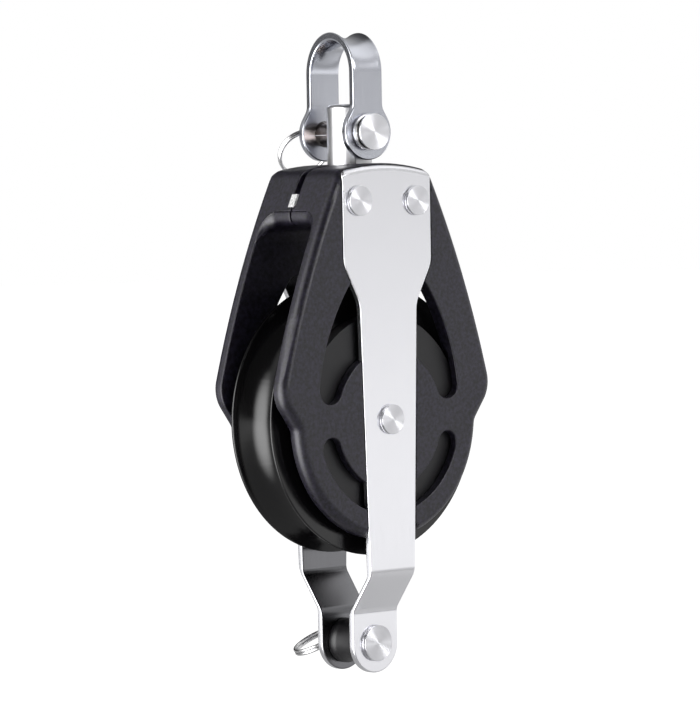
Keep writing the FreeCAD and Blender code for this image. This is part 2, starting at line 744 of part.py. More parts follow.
def split_ring_shape():
    """Two turns of wire side by side, as one turned solid; the ring passes the origin along X."""
    radius, wire, half = size["ring_radius"], size["ring_wire_radius"], place["ring_turn_half"]
    centre = FreeCAD.Vector(0, 0, place["ring_bow"] / 2 - radius)
    waist = math.sqrt(wire ** 2 - half ** 2)
    top, bottom = centre + Z * (radius + waist), centre + Z * (radius - waist)
    turns = [
        Part.Arc(top, centre + Z * radius + Y * side * (half + wire), bottom).toShape()
        for side in (-1, 1)
    ]
    face = Part.Face(Part.Wire(turns))
    return face.revolve(centre, Y, 360)


def ring_hole(name, placement):
    """Cross hole for a split ring, along the ring frame's X and right through the pin."""
    tool = doc.addObject("Part::Cylinder", name)
    start = X * -2 * size["pin_radius"]
    tool.Placement = placement.multiply(FreeCAD.Placement(start, FreeCAD.Rotation(Y, 90)))
    return bind(tool, Radius="ring_hole_radius", Height="4 * pin_radius")


def clevis_pin(label, face, proud, tip):
    """Headed pin along +Y: its head stands on the given face, its tip is bevelled."""
    points = head_points("pin_head_radius", f"- {face}", proud, -1)[::-1]
    end = f"{tip} + pin_tip_length"
    points += [
        ("pin_radius", f"- {face}"),
        ("pin_radius", f"{end} - pin_tip_bevel"),
        ("pin_radius - pin_tip_bevel", end),
        ("0", end),
    ]
    return turned(label, points)


becket_hole_point = FreeCAD.Vector(0, place["becket_ring_place"], -place["becket_pin_drop"])
becket_ring_frame = ring_frame(becket_hole_point, 0.0, size["becket_ring_tilt"], size["becket_ring_swing"])
becket_pin_blank = clevis_pin("becket_pin_blank", "becket_ear_face", "becket_head_proud", "becket_ring_place")
bind(becket_pin_blank, z="- becket_pin_drop")
becket_pin = cut("becket_pin", becket_pin_blank,
                 ring_hole("becket_ring_hole", becket_ring_frame))
becket_ring = solid_feature("becket_ring", split_ring_shape())
becket_ring.Placement = becket_ring_frame

becket_bush = turned("becket_bush", [
    ("pin_radius + hole_clearance", "- bush_end"),
    ("bush_radius", "- bush_end"),
    ("bush_radius", "bush_band - bush_end"),
    ("bush_radius - bush_waist", "bush_band + bush_slope - bush_end"),
    ("bush_radius - bush_waist", "bush_end - bush_band - bush_slope"),
    ("bush_radius", "bush_end - bush_band"),
    ("bush_radius", "bush_end"),
    ("pin_radius + hole_clearance", "bush_end"),
])
bind(becket_bush, z="- becket_pin_drop")

# Swivel: anchor in the head, post, washers and nut


def anchor_shape():
    """Steel block with a bore for the stem, rivet holes and a thin tab at each end."""
    length, depth = place["anchor_half_length"], place["anchor_half_depth"]
    bottom, top, centre = place["anchor_bottom"], place["anchor_top"], place["anchor_centre"]
    half_tab, half_height = size["tab_width"] / 2, size["tab_height"] / 2
    tabs = block((-REACH, -half_tab, centre - half_height), (REACH, half_tab, centre + half_height))
    outline = cheek_wire().makeOffset2D(size["tab_reach"])
    body = block((-length, -depth, bottom), (length, depth, top)).fuse(
        tabs.common(prism(outline, -REACH, REACH)))
    bores = [Part.makeCylinder(size["stem_radius"] + size["hole_clearance"], top - bottom,
                               FreeCAD.Vector(0, 0, bottom), Z)]
    for side in (-1, 1):
        bores.append(rod(size["rivet_radius"] + size["hole_clearance"], -REACH, REACH,
                         side * size["rivet_half"], place["rivet_height"]))
    return body.cut(bores)


swivel_anchor = solid_feature("swivel_anchor", anchor_shape())

SHACKLE_TURN = FreeCAD.Rotation(Z, size["shackle_turn"])

post_blank = turned("post_blank", [
    ("0", "nut_bottom"),
    ("stem_radius", "nut_bottom"),
    ("stem_radius", "post_shoulder"),
    ("post_radius", "post_shoulder"),
    ("post_radius", "post_top - post_bevel"),
    ("post_radius - post_bevel", "post_top"),
    ("0", "post_top"),
], along_y=False)
post_eye = doc.addObject("Part::Cylinder", "post_eye")
post_eye.Placement = FreeCAD.Placement(SHACKLE_TURN.multVec(Y) * -2 * size["post_radius"],
                                       SHACKLE_TURN.multiply(LOOK_ALONG_Y))
bind(post_eye, Radius="pin_radius + hole_clearance", Height="4 * post_radius", z="shackle_pin_height")
swivel_post = cut("swivel_post", post_blank, post_eye)

post_thrust_washer = sleeve("post_thrust_washer", "stem_radius + hole_clearance", "post_radius",
                            "anchor_top + washer_gap", "post_shoulder - washer_gap", along_y=False)
post_lower_washer = sleeve("post_lower_washer", "stem_radius + hole_clearance", "lower_washer_radius",
                           "lower_washer_bottom", "anchor_bottom - washer_gap", along_y=False)
post_nut = sleeve("post_nut", "stem_radius + hole_clearance", "nut_radius",
                  "nut_bottom", "nut_bottom + nut_height", along_y=False)

# Shackle: one strip bent into a bow, with flat legs and ears, and dished round the bow


def strip_section(angle):
    """Section of the bow at an angle round from its +Y leg; its middle sinks in most at the top."""
    half, outer, inner = size["shackle_leg_half"], place["shackle_outer_half"], place["shackle_ear_inside"]
    away = Y * math.cos(angle) + Z * math.sin(angle)
    dish = size["shackle_dish"] * math.sin(angle) ** 2

    def face(reach):
        left, right = away * reach - X * half, away * reach + X * half
        if dish < 1e-6:
            return Part.LineSegment(left, right)
        return Part.Arc(left, away * (reach - dish), right)

    outside, inside = face(outer), face(inner)
    return Part.Wire([
        outside.toShape(),
        Part.LineSegment(outside.EndPoint, inside.EndPoint).toShape(),
        inside.toShape(),
        Part.LineSegment(inside.StartPoint, outside.StartPoint).toShape(),
    ])


def ear_wire():
    """Outline of an ear and the flat leg above it."""
    half, radius = size["shackle_leg_half"], size["shackle_ear_radius"]
    pin, neck, top = (place[f"shackle_{name}_height"] for name in ("pin", "neck", "bow"))
    rise = neck - pin
    reach = math.hypot(half, rise)
    touch = math.atan2(rise, half) - math.acos(radius / reach)
    right = [
        (radius, pin - radius, radius),
        (radius, pin + radius * math.tan(touch / 2), radius),
        (half, neck, size["shackle_neck_round"]),
        (half, top, 0.0),
    ]
    return rounded_wire(both_sides(right), front)


def shackle_shape():
    """Shackle strip about its own middle, before it is turned and shifted along its pin."""
    outer, inner = place["shackle_outer_half"], place["shackle_ear_inside"]
    sections = [strip_section(math.pi * step / BOW_STEPS) for step in range(BOW_STEPS + 1)]
    strip = Part.makeLoft(sections, True, False)
    strip.translate(Z * place["shackle_bow_height"])
    strip = strip.fuse([prism(ear_wire(), inner, outer), prism(ear_wire(), -outer, -inner)])
    return strip.cut(rod(size["pin_radius"] + size["hole_clearance"], -REACH, REACH,
                         0.0, place["shackle_pin_height"]))


shackle_place = FreeCAD.Placement(SHACKLE_TURN.multVec(Y) * size["shackle_shift"], SHACKLE_TURN)
shackle_strap = solid_feature("shackle_strap", shackle_shape())
shackle_strap.Placement = shackle_place

shackle_hole_point = SHACKLE_TURN.multVec(Y) * (size["shackle_shift"] + place["shackle_ring_place"])
shackle_hole_point += Z * place["shackle_pin_height"]
shackle_ring_frame = ring_frame(shackle_hole_point, size["shackle_turn"], size["shackle_ring_tilt"],
                                size["shackle_ring_swing"])
shackle_pin_blank = clevis_pin("shackle_pin_blank", "shackle_outer_half", "shackle_head_proud",
                               "shackle_ring_place")
shackle_pin_blank.Placement = FreeCAD.Placement(
    shackle_place.Base + Z * place["shackle_pin_height"], SHACKLE_TURN)
shackle_pin = cut("shackle_pin", shackle_pin_blank,
                  ring_hole("shackle_ring_hole", shackle_ring_frame))
shackle_ring = solid_feature("shackle_ring", split_ring_shape())
shackle_ring.Placement = shackle_ring_frame

# Check and write every piece

PIECES = [
    shackle_strap, shackle_pin, shackle_ring,
    swivel_post, swivel_anchor, post_thrust_washer, post_lower_washer, post_nut,
    front_cheek, rear_cheek, front_strap, rear_strap,
    head_rivet_left, head_rivet_right, axle,
    sheave, front_race_cover, rear_race_cover, inner_race, bearing_balls,
    becket_pin, becket_bush, becket_ring,
]

doc.recompute()
for item in doc.Objects:
    if "Invalid" in item.State or "Error" in item.State:
        raise RuntimeError(f"{item.Label} failed: {item.State}")
os.makedirs("parts", exist_ok=True)
for piece in PIECES:
    shape = piece.Shape
    if shape.isNull() or not shape.isValid():
        raise RuntimeError(f"{piece.Label} has no valid shape")
    expected = ball_count if piece is bearing_balls else 1
    if len(shape.Solids) != expected:
        raise RuntimeError(f"{piece.Label} has {len(shape.Solids)} solids, not {expected}")
for piece in PIECES:
    piece.Shape.exportStep(os.path.join("parts", f"{piece.Label}.step"))
    box = piece.Shape.BoundBox
    low = ", ".join(f"{value:.2f}" for value in (box.XMin, box.YMin, box.ZMin))
    high = ", ".join(f"{value:.2f}" for value in (box.XMax, box.YMax, box.ZMax))
    print(f"{piece.Label}: volume {piece.Shape.Volume:.1f}, from ({low}) to ({high})")
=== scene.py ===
"""Dresses the swivel becket block: finishes, rounded edges, coiled split rings, light and camera."""

import json
import logging
import math
from collections.abc import Iterable, Sequence
from dataclasses import dataclass, field
from enum import Enum
from typing import Any

import bpy
from mathutils import Matrix, Vector


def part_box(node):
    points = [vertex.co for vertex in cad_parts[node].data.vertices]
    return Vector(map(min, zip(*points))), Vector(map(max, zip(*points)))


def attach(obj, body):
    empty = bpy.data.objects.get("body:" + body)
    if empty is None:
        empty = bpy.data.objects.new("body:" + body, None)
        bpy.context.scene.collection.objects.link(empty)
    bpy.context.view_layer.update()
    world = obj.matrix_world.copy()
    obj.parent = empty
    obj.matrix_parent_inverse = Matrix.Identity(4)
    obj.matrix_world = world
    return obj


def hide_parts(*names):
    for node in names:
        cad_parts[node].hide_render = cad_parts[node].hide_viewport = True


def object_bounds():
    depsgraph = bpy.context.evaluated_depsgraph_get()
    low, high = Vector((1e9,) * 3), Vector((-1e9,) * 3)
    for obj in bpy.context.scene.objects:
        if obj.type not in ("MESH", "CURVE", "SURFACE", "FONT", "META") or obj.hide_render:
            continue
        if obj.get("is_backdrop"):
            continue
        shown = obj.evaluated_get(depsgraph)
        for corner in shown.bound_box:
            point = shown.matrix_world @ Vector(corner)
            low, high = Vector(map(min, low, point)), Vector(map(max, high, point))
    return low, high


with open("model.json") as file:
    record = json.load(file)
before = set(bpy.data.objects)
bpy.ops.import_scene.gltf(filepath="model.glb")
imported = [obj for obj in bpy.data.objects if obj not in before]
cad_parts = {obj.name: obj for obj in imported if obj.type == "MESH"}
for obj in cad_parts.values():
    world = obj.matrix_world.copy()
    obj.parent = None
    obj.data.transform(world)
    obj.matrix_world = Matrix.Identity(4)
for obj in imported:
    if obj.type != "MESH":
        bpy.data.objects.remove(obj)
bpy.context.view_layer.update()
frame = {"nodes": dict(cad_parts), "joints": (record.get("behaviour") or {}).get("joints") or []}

LOG = logging.getLogger("becket_block")
MM = 0.001
PHOTO_SIZE = (700, 718)
WHITE = "#ffffff"
# Noise seldom leaves the middle of its range, so tones and gloss are spread from there.
NOISE_LOW, NOISE_HIGH = 0.3, 0.7
GRAIN_LOW, GRAIN_HIGH = 0.35, 0.65
# How far a face looks along a bar's axis: up to the first share it is side, and past the second end.
SIDE_SHARE, END_SHARE = 0.5, 0.9
QUARTER_TURN = 0.25
WHOLE_TURN_DEG = 360


def linear(hex_colour: str) -> tuple[float, float, float, float]:
    """Turn an sRGB hex colour into the linear colour that a socket takes.

    Args:
        hex_colour: Six hex digits after a number sign.

    Returns:
        Linear red, green, blue and an alpha of 1.
    """
    channels = [int(hex_colour[i:i + 2], 16) / 255 for i in (1, 3, 5)]
    red, green, blue = (c / 12.92 if c <= 0.04045 else ((c + 0.055) / 1.055) ** 2.4 for c in channels)
    return red, green, blue, 1.0


def per_metre(feature_mm: float) -> float:
    """Scale of a texture whose features are this many millimetres apart."""
    return 1 / (feature_mm * MM)


def add_node(tree: bpy.types.NodeTree, kind: str, inputs: dict[Any, Any] | None = None,
             **settings: Any) -> bpy.types.Node:
    """Add one node with its settings and links.

    Args:
        tree: Tree that the node goes into.
        kind: Blender's name of the node type.
        inputs: Socket name or number to a value, or to the socket that feeds it.
        **settings: Properties of the node itself.

    Returns:
        The new node.
    """
    node = tree.nodes.new(kind)
    for name, value in settings.items():
        setattr(node, name, value)
    for key, value in (inputs or {}).items():
        if isinstance(value, bpy.types.NodeSocket):
            tree.links.new(value, node.inputs[key])
        else:
            node.inputs[key].default_value = value
    return node


# Finishes


class Metalness(Enum):
    """Whether a finish is a bare metal or a plastic."""

    METAL = 1.0
    PLASTIC = 0.0


@dataclass(frozen=True)
class Finish:
    """What every finish has: a real material, its colour and how smooth it was made."""

    name: str
    colour: str
    roughness: float
    kind: Metalness
    ior: float = 1.5
    gloss: float = 0.5

    def start(self) -> tuple[bpy.types.Material, bpy.types.NodeTree, bpy.types.Node]:
        """Make the material and its shader.

        Returns:
            The material, its tree and the shader node.
        """
        material = bpy.data.materials.new(self.name)
        material.use_nodes = True
        material.diffuse_color = linear(self.colour)
        tree = material.node_tree
        tree.nodes.clear()
        shader = add_node(tree, "ShaderNodeBsdfPrincipled", {
            "Base Color": linear(self.colour), "Roughness": self.roughness,
            "Metallic": self.kind.value, "IOR": self.ior,
            "Specular IOR Level": self.gloss})
        add_node(tree, "ShaderNodeOutputMaterial", {"Surface": shader.outputs[0]})
        return material, tree, shader


@dataclass(frozen=True)
class GrainedSurface(Finish):
    """Moulded, cast or turned surface: an even grain, a mottled tone and a gloss that drifts slowly."""

    grain_mm: float = 0.4
    grain_depth_mm: float = 0.012
    grain_detail: float = 3.0
    grain_fineness: float = 0.6
    mottle: float = 0.12
    flow_mm: float = 9.0
    flow_detail: float = 2.0
    gloss_drift: float = 0.05

    def build(self) -> bpy.types.Material:
        """Make the material.

        Returns:
            The material, ready to assign.
        """
        material, tree, shader = self.start()
        place = add_node(tree, "ShaderNodeTexCoord").outputs["Object"]
        grain = add_node(tree, "ShaderNodeTexNoise", {
            "Vector": place, "Scale": per_metre(self.grain_mm), "Detail": self.grain_detail,
            "Roughness": self.grain_fineness})
        flow = add_node(tree, "ShaderNodeTexNoise", {
            "Vector": place, "Scale": per_metre(self.flow_mm), "Detail": self.flow_detail})
        plain = linear(self.colour)[:3]
        dark = tuple(c * (1 - self.mottle) for c in plain) + (1.0,)
        light = tuple(min(c * (1 + self.mottle), 1.0) for c in plain) + (1.0,)
        share = add_node(tree, "ShaderNodeMapRange", {
            "Value": grain.outputs["Fac"], "From Min": GRAIN_LOW, "From Max": GRAIN_HIGH})
        tone = add_node(tree, "ShaderNodeMix", {
            "Factor": share.outputs[0], "A": dark, "B": light}, data_type="RGBA")
        tree.links.new(tone.outputs["Result"], shader.inputs["Base Color"])
        gloss = add_node(tree, "ShaderNodeMapRange", {
            "Value": flow.outputs["Fac"], "From Min": NOISE_LOW, "From Max": NOISE_HIGH,
            "To Min": self.roughness - self.gloss_drift, "To Max": self.roughness + self.gloss_drift})
        tree.links.new(gloss.outputs[0], shader.inputs["Roughness"])
        bump = add_node(tree, "ShaderNodeBump", {
            "Height": grain.outputs["Fac"], "Distance": self.grain_depth_mm * MM, "Strength": 1.0})
        tree.links.new(bump.outputs[0], shader.inputs["Normal"])
        return material


@dataclass(frozen=True)
class SatinSheet(Finish):
    """Rolled and tumbled sheet: fine rolling lines along the strip and a soft unevenness.

    The real lines are some hundredths of a millimetre apart and are drawn coarser, so that they show. A
    colour for the inside is that of the faces that look towards the block's middle plane: it starts at
    the first distance of inside_mm from that plane and is whole at the second.
    """

    line_mm: float = 0.22
    line_length_mm: float = 5.0
    line_depth_mm: float = 0.0012
    dent_mm: float = 6.0
    dent_depth_mm: float = 0.006
    tumble: float = 0.05
    inside: str = ""
    inside_mm: tuple[float, float] = (1.0, 3.0)

    def build(self) -> bpy.types.Material:
        """Make the material.

        Returns:
            The material, ready to assign.
        """
        material, tree, shader = self.start()
        spot = add_node(tree, "ShaderNodeTexCoord")
        place = spot.outputs["Object"]
        if self.inside:
            # Distance and normal have opposite signs on a face that looks to the middle plane.
            away = add_node(tree, "ShaderNodeSeparateXYZ", {0: place})
            facing = add_node(tree, "ShaderNodeSeparateXYZ", {0: spot.outputs["Normal"]})
            outward = add_node(tree, "ShaderNodeMath", {0: away.outputs["Y"], 1: facing.outputs["Y"]},
                               operation="MULTIPLY")
            first, whole = (-distance * MM for distance in self.inside_mm)
            skin = add_node(tree, "ShaderNodeMapRange", {
                "Value": outward.outputs[0], "From Min": whole, "From Max": first,
                "To Min": 1.0, "To Max": 0.0})
            tone = add_node(tree, "ShaderNodeMix", {
                "Factor": skin.outputs[0], "A": linear(self.colour), "B": linear(self.inside)},
                data_type="RGBA")
            tree.links.new(tone.outputs["Result"], shader.inputs["Base Color"])
        squeeze = self.line_mm / self.line_length_mm
        along = add_node(tree, "ShaderNodeMapping", {"Vector": place, "Scale": (1.0, 1.0, squeeze)})
        lines = add_node(tree, "ShaderNodeTexNoise", {
            "Vector": along.outputs[0], "Scale": per_metre(self.line_mm), "Detail": 2.0})
        dents = add_node(tree, "ShaderNodeTexNoise", {
            "Vector": place, "Scale": per_metre(self.dent_mm), "Detail": 1.0})
        gloss = add_node(tree, "ShaderNodeMapRange", {
            "Value": lines.outputs["Fac"], "From Min": NOISE_LOW, "From Max": NOISE_HIGH,
            "To Min": self.roughness - self.tumble, "To Max": self.roughness + self.tumble})
        tree.links.new(gloss.outputs[0], shader.inputs["Roughness"])
        broad = add_node(tree, "ShaderNodeBump", {
            "Height": dents.outputs["Fac"], "Distance": self.dent_depth_mm * MM, "Strength": 1.0})
        fine = add_node(tree, "ShaderNodeBump", {
            "Height": lines.outputs["Fac"], "Distance": self.line_depth_mm * MM,
            "Normal": broad.outputs[0], "Strength": 1.0})
        tree.links.new(fine.outputs[0], shader.inputs["Normal"])
        return material


@dataclass(frozen=True)
class TurnedSteel(Finish):
    """Bar turned in a lathe: fine rings round its own axis, on the ends and along the side.

    The real rings are about 0.1 mm apart and are drawn at ring_mm, so that they show. Inside
    polished_mm of the axis, where it isn't nought, the bar's side keeps its dull skin on the shank up to
    shank_mm from the centre, and beyond that the neck cut behind the head is painted dark as its shade.
    """

    centre: tuple[float, float, float] = (0.0, 0.0, 0.0)
    axis: tuple[float, float, float] = (0.0, 1.0, 0.0)
    ring_mm: float = 0.24
    ring_depth_mm: float = 0.0012
    cut_gloss: float = 0.08
    anisotropy: float = 0.9
    side_roughness: float = 0.14
    polished_mm: float = 0.0
    skin_fade_mm: float = 0.1
    # Painted shade in the neck cut behind the head.
    neck_shade: str = "#241f1e"
    shank: str = "#8a807a"
    shank_mm: float = 8.6

    def build(self) -> bpy.types.Material:
        """Make the material.

        Returns:
            The material, ready to assign.
        """
        material, tree, shader = self.start()
        spot = add_node(tree, "ShaderNodeTexCoord")
        arm = add_node(tree, "ShaderNodeVectorMath", {0: spot.outputs["Object"], 1: self.centre},
                       operation="SUBTRACT")
        cross = add_node(tree, "ShaderNodeVectorMath", {0: arm.outputs[0], 1: self.axis},
                         operation="CROSS_PRODUCT")
        radius = add_node(tree, "ShaderNodeVectorMath", {0: cross.outputs[0]}, operation="LENGTH")
        along = add_node(tree, "ShaderNodeVectorMath", {0: arm.outputs[0], 1: self.axis},
                         operation="DOT_PRODUCT")
        # On an end the distance along the axis stays the same, and on the side the radius does.
        path = add_node(tree, "ShaderNodeMath", {0: radius.outputs["Value"], 1: along.outputs["Value"]},
                        operation="ADD")
        cuts = add_node(tree, "ShaderNodeTexNoise", {
            "W": path.outputs[0], "Scale": per_metre(self.ring_mm), "Detail": 1.0},
            noise_dimensions="1D")
        bump = add_node(tree, "ShaderNodeBump", {
            "Height": cuts.outputs["Fac"], "Distance": self.ring_depth_mm * MM, "Strength": 1.0})
        tree.links.new(bump.outputs[0], shader.inputs["Normal"])
        # The ends are faced with a coarse cut, and the sides are turned smooth.
        facing = add_node(tree, "ShaderNodeVectorMath", {0: spot.outputs["Normal"], 1: self.axis},
                          operation="DOT_PRODUCT")
        end_share = add_node(tree, "ShaderNodeMath", {0: facing.outputs["Value"]}, operation="ABSOLUTE")
        faced = add_node(tree, "ShaderNodeMapRange", {
            "Value": end_share.outputs[0], "From Min": SIDE_SHARE, "From Max": END_SHARE,
            "To Min": self.side_roughness, "To Max": self.roughness - self.cut_gloss / 2})
        cut_depth = add_node(tree, "ShaderNodeMapRange", {
            "Value": cuts.outputs["Fac"], "From Min": NOISE_LOW, "From Max": NOISE_HIGH,
            "To Min": 0.0, "To Max": self.cut_gloss})
        gloss = add_node(tree, "ShaderNodeMath", {0: faced.outputs[0], 1: cut_depth.outputs[0]},
                         operation="ADD")
        tree.links.new(gloss.outputs[0], shader.inputs["Roughness"])
        # Inside polished_mm the side takes the dull skin's colour on the shank and, past shank_mm, a dark
        # colour painted in the neck as its shade.
        if self.polished_mm:
            rim = self.polished_mm * MM
            skin = add_node(tree, "ShaderNodeMapRange", {
                "Value": radius.outputs["Value"], "From Min": rim - self.skin_fade_mm * MM,
                "From Max": rim, "To Min": 1.0, "To Max": 0.0})
            side = add_node(tree, "ShaderNodeMapRange", {
                "Value": end_share.outputs[0], "From Min": SIDE_SHARE, "From Max": END_SHARE,
                "To Min": 1.0, "To Max": 0.0})
            share = add_node(tree, "ShaderNodeMath", {0: skin.outputs[0], 1: side.outputs[0]},
                             operation="MULTIPLY")
            far = add_node(tree, "ShaderNodeMath", {0: along.outputs["Value"]}, operation="ABSOLUTE")
            # Past shank_mm along the axis lies the neck behind the head, where shade is painted.
            neck_shade_mask = add_node(tree, "ShaderNodeMath", {0: far.outputs[0], 1: self.shank_mm * MM},
                              operation="GREATER_THAN")
            skin_or_painted_neck_shade = add_node(tree, "ShaderNodeMix", {
                "Factor": neck_shade_mask.outputs[0], "A": linear(self.shank), "B": linear(self.neck_shade)},
                data_type="RGBA")
            tone = add_node(tree, "ShaderNodeMix", {
                "Factor": share.outputs[0], "A": linear(self.colour), "B": skin_or_painted_neck_shade.outputs["Result"]},
                data_type="RGBA")
            tree.links.new(tone.outputs["Result"], shader.inputs["Base Color"])
        # The rings run along the cross product, so the highlight spreads at a quarter turn to it.
        ring_way = add_node(tree, "ShaderNodeVectorTransform", {0: cross.outputs[0]},
                            vector_type="VECTOR", convert_from="OBJECT", convert_to="WORLD")
        tree.links.new(ring_way.outputs[0], shader.inputs["Tangent"])
        shader.inputs["Anisotropic"].default_value = self.anisotropy
        shader.inputs["Anisotropic Rotation"].default_value = QUARTER_TURN
        return material


# Shapes


def edge_marker(name: str, sharp_deg: float, knife_deg: float) -> bpy.types.NodeTree:
    """Make the geometry tree that marks outward corners for rounding and shades the faces smooth.

    Args:
        name: Name of the tree.
        sharp_deg: Corners that turn more than this are marked.
        knife_deg: Corners that turn more than this are too thin to be rounded, and stay as they are.

    Returns:
        The tree.
    """
    group = bpy.data.node_groups.new(name, "GeometryNodeTree")
    group.interface.new_socket("Geometry", in_out="INPUT", socket_type="NodeSocketGeometry")
    group.interface.new_socket("Geometry", in_out="OUTPUT", socket_type="NodeSocketGeometry")
    start = add_node(group, "NodeGroupInput")
    angle = add_node(group, "GeometryNodeInputMeshEdgeAngle")
    turn = angle.outputs["Signed Angle"]
    sharp = add_node(group, "ShaderNodeMath", {0: turn, 1: math.radians(sharp_deg)},
                     operation="GREATER_THAN")
    solid = add_node(group, "ShaderNodeMath", {0: turn, 1: math.radians(knife_deg)}, operation="LESS_THAN")
    weight = add_node(group, "ShaderNodeMath", {0: sharp.outputs[0], 1: solid.outputs[0]},
                      operation="MULTIPLY")
    marked = add_node(group, "GeometryNodeStoreNamedAttribute", {
        "Geometry": start.outputs[0], "Name": "bevel_weight_edge", "Value": weight.outputs[0]},
        data_type="FLOAT", domain="EDGE")
    smooth = add_node(group, "GeometryNodeSetShadeSmooth", {"Geometry": marked.outputs[0]})
    add_node(group, "NodeGroupOutput", {0: smooth.outputs[0]})
    return group


@dataclass(frozen=True)
class Rounding:
    """How a piece's outward corners are rounded.

    The radius is the width on each side of a corner, steps are the faces across it, and corners that
    turn more than sharp_deg and less than knife_deg are rounded. Before that, points closer than
    weld_mm are joined and faces that meet at less than flat_deg become one. Large faces keep their
    shading flat: large_face_weight is their hold on it.
    """

    radius_mm: float
    steps: int = 3
    sharp_deg: float = 25.0
    knife_deg: float = 130.0
    weld_mm: float = 0.001
    flat_deg: float = 0.3
    large_face_weight: int = 100


def round_edges(piece: bpy.types.Object, rounding: Rounding) -> None:
    """Round a piece's outward corners with modifiers, which leave its own mesh as it is.

    Args:
        piece: Piece whose corners are rounded.
        rounding: How they are rounded.
    """
    weld = piece.modifiers.new("join_faces", "WELD")
    weld.merge_threshold = rounding.weld_mm * MM
    merge = piece.modifiers.new("merge_flats", "DECIMATE")
    merge.decimate_type = "DISSOLVE"
    merge.angle_limit = math.radians(rounding.flat_deg)
    mark = piece.modifiers.new("mark_corners", "NODES")
    mark.node_group = edge_marker(f"mark_corners_of_{piece.name}", rounding.sharp_deg, rounding.knife_deg)
    bevel = piece.modifiers.new("rounded_corners", "BEVEL")
    bevel.width = rounding.radius_mm * MM
    bevel.segments = rounding.steps
    bevel.limit_method = "WEIGHT"
    bevel.use_clamp_overlap = False
    bevel.miter_outer = "MITER_ARC"
    level = piece.modifiers.new("flats_stay_flat", "WEIGHTED_NORMAL")
    level.weight = rounding.large_face_weight


def tube(name: str, path: Sequence[Vector], radius: float, around: int = 14) -> bpy.types.Object:
    """Make a wire along a path, with flat ends.

    Args:
        name: Name of the new object.
        path: Points of the wire's centre line, in metres.
        radius: The wire's radius, in metres.
        around: Points round the wire.

    Returns:
        The new object, linked to the scene.
    """
    points: list[Vector] = []
    side = Vector((0, 0, 0))
    for index, here in enumerate(path):
        ahead = (path[min(index + 1, len(path) - 1)] - path[max(index - 1, 0)]).normalized()
        if index == 0:
            side = ahead.orthogonal().normalized()
        side = (side - ahead * side.dot(ahead)).normalized()
        other = ahead.cross(side)
        for step in range(around):
            turn = 2 * math.pi * step / around
            points.append(here + (side * math.cos(turn) + other * math.sin(turn)) * radius)
    faces: list[Sequence[int]] = []
    for index in range(len(path) - 1):
        low, high = index * around, (index + 1) * around
        for step in range(around):
            after = (step + 1) % around
            faces.append((low + step, low + after, high + after, high + step))
    faces.append(tuple(reversed(range(around))))
    faces.append(tuple(range(len(points) - around, len(points))))
    mesh = bpy.data.meshes.new(name)
    mesh.from_pydata(points, [], faces)
    mesh.validate()
    mesh.shade_smooth()
    piece = bpy.data.objects.new(name, mesh)
    bpy.context.scene.collection.objects.link(piece)
    return piece


def dress(names: Iterable[str], material: bpy.types.Material, rounding: Rounding | None = None) -> None:
    """Give nodes of the frame a material and, where asked, rounded edges.

    Args:
        names: The nodes.
        material: What they are made of.
        rounding: How their edges are rounded, or None to leave them as they are.
    """
    for name in names:
        node = frame["nodes"][name]
        node.data.materials.clear()
        node.data.materials.append(material)
        if rounding:
            round_edges(node, rounding)
        LOG.info("dressed %s in %s", name, material.name)


def joint_place(name: str) -> tuple[Vector, Vector]:
    """Find a joint's place and axis at rest.

    Args:
        name: The joint's name.

    Returns:
        Its place in metres and its axis.
    """
    joint = next(item for item in frame["joints"] if item["name"] == name)
    return Vector(joint["pos_m"]), Vector(joint["axis"])


# Sub-assemblies


@dataclass
class SplitRing:
    """Ring of two turns of spring wire that lie side by side, with two cut ends.

    Turn, tilt and swing are the angles at which it hangs in its pin's cross hole. The wire's first end
    is at end_turn from the top, it crosses to the second turn's side over cross_turn, and gap_turn is
    missing at its end, all in degrees.
    """

    name: str
    node: str
    joint: str
    turn: float
    tilt: float
    swing: float
    radius_mm: float = 5.3
    wire_radius_mm: float = 0.355
    pitch_mm: float = 0.7
    pin_radius_mm: float = 2.5
    end_turn: float = 112.0
    cross_turn: float = 50.0
    gap_turn: float = 6.0
    steps: int = 220

    def centre_line(self) -> list[Vector]:
        """Work out the wire's centre line about the middle of the pin's hole.

        Returns:
            Points in metres, with the hole's axis along X and the ring hanging along -Z.
        """
        bow = self.radius_mm - math.sqrt(self.radius_mm ** 2 - self.pin_radius_mm ** 2)
        drop = bow / 2 - self.radius_mm
        line = []
        whole = 2 * WHOLE_TURN_DEG - self.gap_turn
        for step in range(self.steps + 1):
            angle = whole * step / self.steps
            # The wire crosses from the first side to the second where the second turn begins.
            share = min(max((angle - (WHOLE_TURN_DEG - self.cross_turn)) / self.cross_turn, 0.0), 1.0)
            side = self.pitch_mm * (share * share * (3 - 2 * share) - 0.5)
            spot = math.radians(angle + self.end_turn)
            line.append(Vector((math.sin(spot) * self.radius_mm, side,
                                drop + math.cos(spot) * self.radius_mm)) * MM)
        return line

    def build(self, steel: bpy.types.Material) -> None:
        """Make the ring in its place and let it stand for its node.

        Args:
            steel: What the wire is made of.
        """
        place, _ = joint_place(self.joint)
        lean = (Matrix.Rotation(math.radians(self.turn), 4, "Z")
                @ Matrix.Rotation(math.radians(-self.tilt), 4, "Y")
                @ Matrix.Rotation(math.radians(self.swing), 4, "X"))
        path = [place + lean @ point for point in self.centre_line()]
        ring = tube(self.name, path, self.wire_radius_mm * MM)
        ring.data.materials.append(steel)
        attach(ring, self.node)
        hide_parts(self.node)
        LOG.info("built %s", ring.name)


